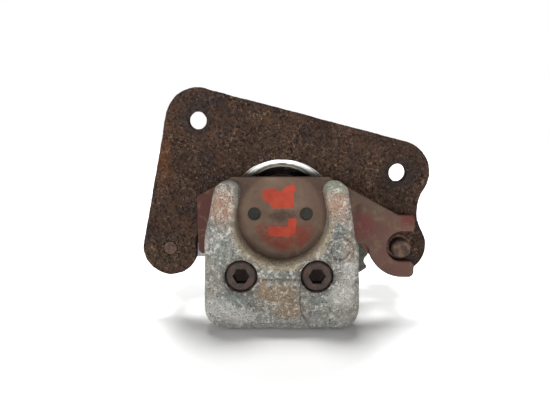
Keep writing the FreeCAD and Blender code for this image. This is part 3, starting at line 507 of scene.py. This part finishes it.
def piston_metal():
    """Plated piston with a brown, baked-on rim."""
    g = Graph("piston_chrome", metallic=0.6, specular=0.5)
    middle = g.noise(4.0, 4.0, 0.6, seed=3.0)
    fine = g.noise(0.8, 3.0, 0.6, seed=5.0)
    stained = g.mix(middle, rgb(86, 62, 50), rgb(140, 112, 92))
    clean = g.mix(fine, rgb(176, 174, 170), rgb(150, 146, 140))
    depth = g.math("ADD", g.y, g.scale(middle, -2.0, 2.0))
    base = g.mix(g.step(depth, PISTON_LOW.y + 3.0, PISTON_LOW.y + 7.0), stained, clean)
    return g.finish(base, g.scale(middle, 0.6, 0.3), fine, 0.04)


def plated_steel():
    g = Graph("plated_steel", metallic=0.6, specular=0.5)
    middle = g.noise(4.0, 4.0, 0.6, seed=4.0)
    fine = g.noise(0.7, 3.0, 0.6, seed=8.0)
    base = g.mix(middle, rgb(150, 142, 118), rgb(120, 112, 98))
    base = g.mix(g.both(g.step(middle, 0.58, 0.72), 0.8), base, rgb(96, 66, 46))
    base = g.mix(g.step(fine, 0.38, 0.3), base, rgb(60, 50, 42))
    return g.finish(base, g.scale(fine, 0.6, 0.35), g.math("ADD", fine, middle), 0.07)


def bush_bronze():
    g = Graph("bush_bronze", metallic=0.8, specular=0.5)
    middle = g.noise(3.0, 4.0, 0.6, seed=4.0)
    fine = g.noise(0.5, 3.0, 0.6, seed=8.0)
    base = g.mix(middle, rgb(150, 118, 74), rgb(112, 84, 52))
    return g.finish(base, g.scale(fine, 0.6, 0.35), fine, 0.04)


MATERIALS = {
    "rusted_steel": rusted_steel(),
    "pin_steel": pin_steel(),
    "cast_aluminium_claw": cast_aluminium("cast_aluminium_claw", True),
    "cast_aluminium_housing": cast_aluminium("cast_aluminium_housing", False),
    "rusted_screw": rusted_screw(),
    "bush_bronze": bush_bronze(),
    "plated_steel": plated_steel(),
    "rubber_boot": rubber("rubber_boot", 0.6),
    "rubber_cap": rubber("rubber_cap", 0.8),
    "pad_plate_paint": pad_paint(),
    "friction_lining": friction_lining(),
    "piston_chrome": piston_metal(),
}
SLOT_OF = {s["node"]: s["material_slot"] for s in frame["record"]["subparts"]}
for node, piece in frame["nodes"].items():
    piece.data.materials.clear()
    piece.data.materials.append(MATERIALS[SLOT_OF[node]])


# ---- finer meshes ----------------------------------------------------------------------------
def ripple(points, size, octaves=3, seed=0.0):
    """Smooth noise from -1 to 1 at each point, with features about size mm across."""
    shift = Vector((seed, seed * 1.7, seed * 0.6))
    return np.array([noise.fractal(Vector(p) / size + shift, 1.0, 2.0, octaves) for p in points])


def pits(points, size, share, seed=0.0):
    """Round pits from 0 to 1 about size mm apart: share is the part of the cell that is hollow."""
    shift = Vector((seed, seed * 0.7, seed * 1.3))
    near = np.array([noise.voronoi(Vector(p) / size + shift)[0][0] for p in points])
    return np.clip(1 - near / share, 0, 1) ** 0.7


def remesh(name, node, voxel, rounds):
    """An even mesh of a CAD node, its edges softened by that many rounds of smoothing."""
    piece = bpy.data.objects.new(name, frame["nodes"][node].data.copy())
    bpy.context.scene.collection.objects.link(piece)
    weld = piece.modifiers.new("weld", "WELD")
    weld.merge_threshold = 0.002 * MM
    grid = piece.modifiers.new("grid", "REMESH")
    grid.mode = "VOXEL"
    grid.voxel_size = voxel * MM
    grid.use_smooth_shade = True
    soften = piece.modifiers.new("soften", "SMOOTH")
    soften.factor = 0.5
    soften.iterations = rounds
    view = bpy.context.evaluated_depsgraph_get()
    mesh = bpy.data.meshes.new_from_object(piece.evaluated_get(view))
    piece.modifiers.clear()
    piece.data = mesh
    return piece


def read_points(mesh):
    points = np.empty(len(mesh.vertices) * 3)
    mesh.vertices.foreach_get("co", points)
    normals = np.empty(len(mesh.vertices) * 3)
    mesh.vertices.foreach_get("normal", normals)
    return points.reshape(-1, 3) / MM, normals.reshape(-1, 3)


def write_points(mesh, points):
    mesh.vertices.foreach_set("co", (points * MM).ravel())
    mesh.update()


def skin(name, node, voxel, rounds, shape, body):
    """Stands for a CAD node: a finer mesh of it, shaped by a function of its points and normals in mm."""
    piece = remesh(name, node, voxel, rounds)
    points, normals = read_points(piece.data)
    write_points(piece.data, shape(points, normals))
    piece.data.materials.clear()
    piece.data.materials.append(MATERIALS[SLOT_OF[node]])
    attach(piece, body)
    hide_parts(node)
    return piece


def rusty_plate(points, normals):
    """Scaled and pitted all over, with a lumpy edge."""
    lift = 0.12 * ripple(points, 3.0, 4, 3.0) + 0.05 * ripple(points, 9.0, 2, 7.0)
    lift -= 0.16 * pits(points, 2.6, 0.35, 2.0)
    edge = 1 - np.abs(normals[:, 1])
    lift += edge * 0.3 * ripple(points * np.array([1, 0.25, 1]), 11.0, 3, 12.0)
    return points + normals * lift[:, None]


def round_low_front(points, radius):
    """Rolls the claw's front into its underside."""
    y0 = CLAW_LOW.y + 0.9
    centre_y = y0 + radius
    centre_z = BASE_Z + radius
    dy = points[:, 1] - centre_y
    dz = points[:, 2] - centre_z
    reach = np.hypot(dy, dz)
    proud = np.clip(y0 - points[:, 1], 0, None)
    outside = (dy < 0) & (dz < 0) & (reach > radius)
    factor = np.where(outside, (radius + proud) / np.maximum(reach, 1e-6), 1.0)
    rolled = points.copy()
    rolled[:, 1] = np.where(outside, centre_y + dy * factor, points[:, 1])
    rolled[:, 2] = np.where(outside, centre_z + dz * factor, points[:, 2])
    return rolled


def round_low_corners(points, radius):
    """Rounds the claw's two lower corners."""
    centre_z = BASE_Z + radius
    rounded_off = points.copy()
    for side, edge in ((-1, CLAW_LOW.x), (1, CLAW_HIGH.x)):
        centre_x = edge - side * radius
        dx = points[:, 0] - centre_x
        dz = points[:, 2] - centre_z
        reach = np.hypot(dx, dz)
        outside = (dx * side > 0) & (dz < 0) & (reach > radius)
        factor = np.where(outside, radius / np.maximum(reach, 1e-6), 1.0)
        rounded_off[:, 0] = np.where(outside, centre_x + dx * factor, rounded_off[:, 0])
        rounded_off[:, 2] = np.where(outside, centre_z + dz * factor, rounded_off[:, 2])
    return rounded_off


def raised_marks(points):
    """1 on the claw's raised patch and ring, 0 elsewhere, with a soft step."""
    x = points[:, 0]
    z = points[:, 2]
    flare = np.clip((PATCH_LOW + 7.5 - z) / 7.5, 0, 1)
    half = PATCH_HALF + PATCH_FOOT * flare
    inside = np.minimum(half - np.abs(x - PATCH_X), np.minimum(PATCH_HIGH - z, z - PATCH_LOW + 1.0))
    patch = np.clip(inside / 0.7 + 0.5, 0, 1)
    away = np.abs(np.hypot(x - RING_X, z - RING_Z) - RING_MARK_R)
    return np.maximum(patch, np.clip((1.1 - away) / 0.6, 0, 1))


def rough_claw(points, normals):
    """Rolled lower edge, uneven casting skin, pores and a few dents. Screw seats stay true."""
    points = round_low_front(round_low_corners(points, CORNER_R), ROLL_R)
    seats = np.zeros(len(points))
    for x in SCREW_X:
        away = np.hypot(points[:, 0] - x, points[:, 2] - SCREW_Z)
        seats = np.maximum(seats, np.clip((SEAT_R - away) / 0.6, 0, 1))
    rear = np.clip((points[:, 1] - (CLAW_HIGH.y - 1.2)) / 1.0, 0, 1)
    loose = (1 - seats) * (1 - rear)
    lift = 0.26 * ripple(points, 9.0, 3, 1.0) + 0.07 * ripple(points, 1.9, 3, 5.0)
    lift -= 0.3 * pits(points, 4.2, 0.17, 6.0)
    lift += RAISED * raised_marks(points) * np.clip((-normals[:, 1] - 0.6) / 0.3, 0, 1)
    flat = np.clip((points[:, 2] - BASE_Z - 0.6) / 1.5, 0, 1)
    lift = np.where(lift > 0, lift * flat, lift)
    return points + normals * (lift * loose)[:, None]


def worn_pad(points, normals):
    """Slightly wavy stamped plate with rolled edges."""
    lift = 0.03 * ripple(points, 7.0, 3, 4.0) + 0.025 * ripple(points, 1.6, 2, 8.0)
    return points + normals * lift[:, None]


def lathe(name, centre, outline, slot, steps=96):
    """A turned piece round an axis along Y, from a closed outline of (radius, y) points in mm."""
    count = len(outline)
    points = []
    for i in range(steps):
        angle = 2 * math.pi * i / steps
        c, s = math.cos(angle), math.sin(angle)
        points += [(centre[0] + r * c, y, centre[1] + r * s) for r, y in outline]
    faces = [(i * count + j, i * count + (j + 1) % count, (i + 1) % steps * count + (j + 1) % count,
              (i + 1) % steps * count + j) for i in range(steps) for j in range(count)]
    mesh = bpy.data.meshes.new(name)
    mesh.from_pydata([Vector(p) * MM for p in points], [], faces)
    mesh.validate()
    bm = bmesh.new()
    bm.from_mesh(mesh)
    bmesh.ops.recalc_face_normals(bm, faces=bm.faces)
    bm.to_mesh(mesh)
    bm.free()
    mesh.shade_smooth()
    piece = bpy.data.objects.new(name, mesh)
    bpy.context.scene.collection.objects.link(piece)
    mesh.materials.append(MATERIALS[slot])
    return piece


def rounded(points, steps=5):
    """A closed outline with its corners cut round, as a quadratic spline through the edges' midpoints."""
    curve = []
    for i, corner in enumerate(points):
        before = points[i - 1]
        after = points[(i + 1) % len(points)]
        start = [(corner[k] + before[k]) / 2 for k in (0, 1)]
        end = [(corner[k] + after[k]) / 2 for k in (0, 1)]
        for j in range(steps):
            t = j / steps
            a, b, c = (1 - t) ** 2, 2 * t * (1 - t), t * t
            curve.append(tuple(a * start[k] + b * corner[k] + c * end[k] for k in (0, 1)))
    return curve


def guide_boot(side, low, high):
    """Bellows that stretch between the guide pin's groove and the ear."""
    centre = ((low.x + high.x) / 2, (low.z + high.z) / 2)
    boot_low, boot_high = span("guide_boot_" + side)
    lip_y, bead_y = boot_low.y, boot_high.y
    pin = 5.15              # clears the pin's groove by 0.05 mm, as spigot does the ear's collar
    spigot = SPIGOT_R + 0.05
    lip_end = lip_y + 1.8
    fold = (lip_end + bead_y) / 2 - 1.0
    outline = [(pin, lip_y), (pin + 1.2, lip_y), (pin + 2.5, lip_y + 0.2), (pin + 2.5, lip_end - 0.2),
               (spigot + 2.9, fold - 0.9), (spigot + 2.9, fold + 0.1), (spigot + 0.9, fold + 0.8),
               (spigot + 2.6, fold + 1.6), (spigot + 2.3, bead_y), (spigot + 1.0, bead_y), (spigot, bead_y),
               (spigot, bead_y - 1.2), (spigot, fold + 1.5), (spigot - 0.5, fold + 0.6),
               (spigot + 1.2, fold - 0.2), (pin + 1.4, lip_end), (pin, lip_end), (pin, lip_y + 1.0)]
    boot = lathe("boot_of_" + side + "_guide_pin", centre, rounded(outline), "rubber_boot")
    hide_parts("guide_boot_" + side)
    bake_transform(boot)


def dust_boot():
    """Soft membrane from the piston's groove to the bottom of the housing's recess."""
    low, high = span("piston_dust_boot")
    outer = (high.x - low.x) / 2
    lip_y, back_y = low.y, high.y
    r = PISTON_R
    bead_y = back_y - 2.3
    outline = [(r - 1.2, lip_y), (r + 0.4, lip_y), (r + 1.3, lip_y + 0.1), (r + 1.6, lip_y + 1.2),
               (r + 2.0, bead_y - 0.9), (r + 2.9, bead_y - 0.8), (r + 3.4, lip_y + 1.7),
               (r + 4.2, lip_y + 1.6), (r + 4.5, bead_y), (outer, bead_y), (outer, back_y),
               (outer - 1.2, back_y), (outer - 2.4, back_y), (outer - 2.4, bead_y + 0.8),
               (r + 3.6, lip_y + 2.6), (r + 3.0, bead_y + 0.1), (r + 1.8, bead_y + 0.1),
               (r + 0.9, lip_y + 1.6), (r - 1.2, lip_y + 1.6), (r - 1.2, lip_y + 0.8)]
    boot = lathe("boot_of_piston", (BORE_X, BORE_Z), rounded(outline), "rubber_boot", 128)
    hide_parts("piston_dust_boot")
    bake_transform(boot)


def true_up(points, centre, radius, y0, y1, slack=0.9):
    """Brings the points near a bored or turned surface back to its true radius."""
    dx = points[:, 0] - centre[0]
    dz = points[:, 2] - centre[1]
    r = np.hypot(dx, dz)
    near = (np.abs(r - radius) < slack) & (points[:, 1] > y0) & (points[:, 1] < y1)
    factor = np.where(near, radius / np.maximum(r, 1e-6), 1.0)
    points[:, 0] = centre[0] + dx * factor
    points[:, 2] = centre[1] + dz * factor
    return near


def clear_bleed_bore(points):
    """Opens the bleed screw's bore, which runs along Z, so that the screw turns freely."""
    low, high = span("bleeder_screw")
    dx = points[:, 0] - (low.x + high.x) / 2
    dy = points[:, 1] - (low.y + high.y) / 2
    r = np.hypot(dx, dy)
    tight = (r > 1.0) & (r < BLEED_BORE_R) & (points[:, 2] > low.z - 0.5)
    factor = np.where(tight, BLEED_BORE_R / np.maximum(r, 1e-6), 1.0)
    points[:, 0] += dx * (factor - 1)
    points[:, 1] += dy * (factor - 1)
    return tight


def rough_housing(points, normals):
    """Uneven casting skin, with the bores, the machined ring and the joint face kept true."""
    points = points.copy()
    bore = (BORE_X, BORE_Z)
    machined = np.zeros(len(points), bool)
    for low, high in ((PIN_LEFT_LOW, PIN_LEFT_HIGH), (PIN_RIGHT_LOW, PIN_RIGHT_HIGH)):
        pin = ((low.x + high.x) / 2, (low.z + high.z) / 2)
        machined |= true_up(points, pin, BUSH_R, 44.0, 90.0, 0.7)
        machined |= true_up(points, pin, PIN_HOLE_R, 30.0, 44.0, 0.5)
        machined |= true_up(points, pin, SPIGOT_R, 30.0, 41.8, 0.6)
    machined |= true_up(points, bore, PISTON_R + 0.08, RING_Y + 8.2, PISTON_HIGH.y + 3.0)
    machined |= true_up(points, bore, PISTON_R + BOOT_ROOM, RING_Y + 0.3, RING_Y + 8.0)
    for x in SCREW_X:
        machined |= true_up(points, (x, SCREW_Z), SCREW_HOLE_R, CLAW_HIGH.y - 1, SCREWS_HIGH.y + 3.0, 0.7)
    away = np.hypot(points[:, 0] - BORE_X, points[:, 2] - BORE_Z)
    land = (away > PISTON_R + BOOT_ROOM - 0.3) & (away < PISTON_R + RING_REACH)
    face = land & (np.abs(points[:, 1] - RING_Y) < 0.6)
    points[:, 1] = np.where(face, RING_Y, points[:, 1])
    joint = np.abs(points[:, 1] - CLAW_HIGH.y) < 1.0
    machined |= clear_bleed_bore(points)
    machined |= face | joint | (away < PISTON_R + BOOT_ROOM + 0.4)
    lift = 0.28 * ripple(points, 10.0, 3, 1.0) + 0.10 * ripple(points, 2.2, 3, 5.0)
    lift -= 0.25 * pits(points, 4.6, 0.2, 6.0)
    lift = np.where(points[:, 2] < BASE_Z + 1.0, np.minimum(lift, 0), lift)
    return points + normals * np.where(machined, 0.0, lift)[:, None]


def make_skins():
    skin("housing_skin", "cylinder_housing", 0.95, 2, rough_housing, "caliper_body")
    guide_boot("left", PIN_LEFT_LOW, PIN_LEFT_HIGH)
    guide_boot("right", PIN_RIGHT_LOW, PIN_RIGHT_HIGH)
    dust_boot()
    skin("bracket_skin", "bracket_plate", 0.55, 2, rusty_plate, "bracket")
    skin("claw_skin", "claw", 0.55, 2, rough_claw, "caliper_body")
    skin("front_pad_skin", "front_pad_plate", 0.45, 1, worn_pad, "front_pad")


# ---- stage -----------------------------------------------------------------------------------
def floor():
    """White ground that glows a little away from the object, so that it looks like white paper."""
    size = 3000 * MM
    mesh = bpy.data.meshes.new("floor")
    z = (BASE_Z - 0.05) * MM
    corners = [(-size, -size, z), (size, -size, z), (size, size, z), (-size, size, z)]
    mesh.from_pydata(corners, [], [(0, 1, 2, 3)])
    plane = bpy.data.objects.new("floor", mesh)
    bpy.context.scene.collection.objects.link(plane)
    g = Graph("floor", specular=0.2)
    pale = g.mix(g.noise(300.0, 2.0), (0.88, 0.88, 0.88), (0.91, 0.91, 0.91))
    dx = g.math("SUBTRACT", g.x, BORE_X)
    dy = g.math("SUBTRACT", g.y, CLAW_LOW.y)
    far = g.step(g.math("SQRT", g.math("ADD", g.both(dx, dx), g.both(dy, dy))), 44.0, 82.0)
    g.shader.inputs["Emission Color"].default_value = (1, 1, 1, 1)
    g.link(g.scale(far, 0.02, 0.7), g.shader.inputs["Emission Strength"])
    mesh.materials.append(g.finish(pale, 0.6))


def light(name, place, target, size, power, gloss=1.0):
    """A round lamp of that size in metres and power in watts. Gloss scales its highlights."""
    data = bpy.data.lights.new(name, "AREA")
    data.shape = "DISK"
    data.size = size
    data.energy = power
    data.specular_factor = gloss
    lamp = bpy.data.objects.new(name, data)
    bpy.context.scene.collection.objects.link(lamp)
    lamp.location = Vector(place)
    lamp.rotation_euler = (Vector(target) - Vector(place)).to_track_quat("-Z", "Y").to_euler()


def sun(name, toward, strength, spread):
    """Even light that falls toward a direction, its shadows softened by spread degrees."""
    data = bpy.data.lights.new(name, "SUN")
    data.energy = strength
    data.angle = math.radians(spread)
    lamp = bpy.data.objects.new(name, data)
    bpy.context.scene.collection.objects.link(lamp)
    lamp.rotation_euler = Vector(toward).to_track_quat("-Z", "Y").to_euler()


def world(seen, lit):
    """A white backdrop that is as bright as seen to the eye, and gives the object the light lit."""
    scene = bpy.context.scene
    scene.world = bpy.data.worlds.new("world")
    scene.world.use_nodes = True
    tree = scene.world.node_tree
    background = tree.nodes["Background"]
    background.inputs["Color"].default_value = (1, 1, 1, 1)
    path = tree.nodes.new("ShaderNodeLightPath")
    power = tree.nodes.new("ShaderNodeMapRange")
    power.inputs["To Min"].default_value = lit
    power.inputs["To Max"].default_value = seen
    tree.links.new(path.outputs["Is Camera Ray"], power.inputs["Value"])
    tree.links.new(power.outputs["Result"], background.inputs["Strength"])
    scene.view_settings.view_transform = "Standard"


def camera():
    """Close wide view from just above the claw's middle, looking slightly down."""
    pitch = math.radians(9.08)
    yaw = math.radians(0.615)
    data = bpy.data.cameras.new("camera")
    data.sensor_width = 36.0
    data.lens = 30.10909
    data.clip_start = 0.01
    eye = bpy.data.objects.new("camera", data)
    bpy.context.scene.collection.objects.link(eye)
    eye.location = Vector((-10.3, -260.6, 7.6)) * MM
    look = Vector((-math.sin(yaw) * math.cos(pitch), math.cos(yaw) * math.cos(pitch), -math.sin(pitch)))
    eye.rotation_euler = look.to_track_quat("-Z", "Y").to_euler()
    bpy.context.scene.camera = eye


make_skins()
floor()
sun("overhead", (0.05, -0.25, -1.0), 2.6, 20.0)
light("front", (-0.03, -1.1, -0.02), (0, 0, -0.03), 0.14, 4.4, 0.12)
light("side", (-0.75, -0.5, 0.06), (0, 0, -0.04), 0.25, 2.0)
world(1.0, 0.22)
camera()
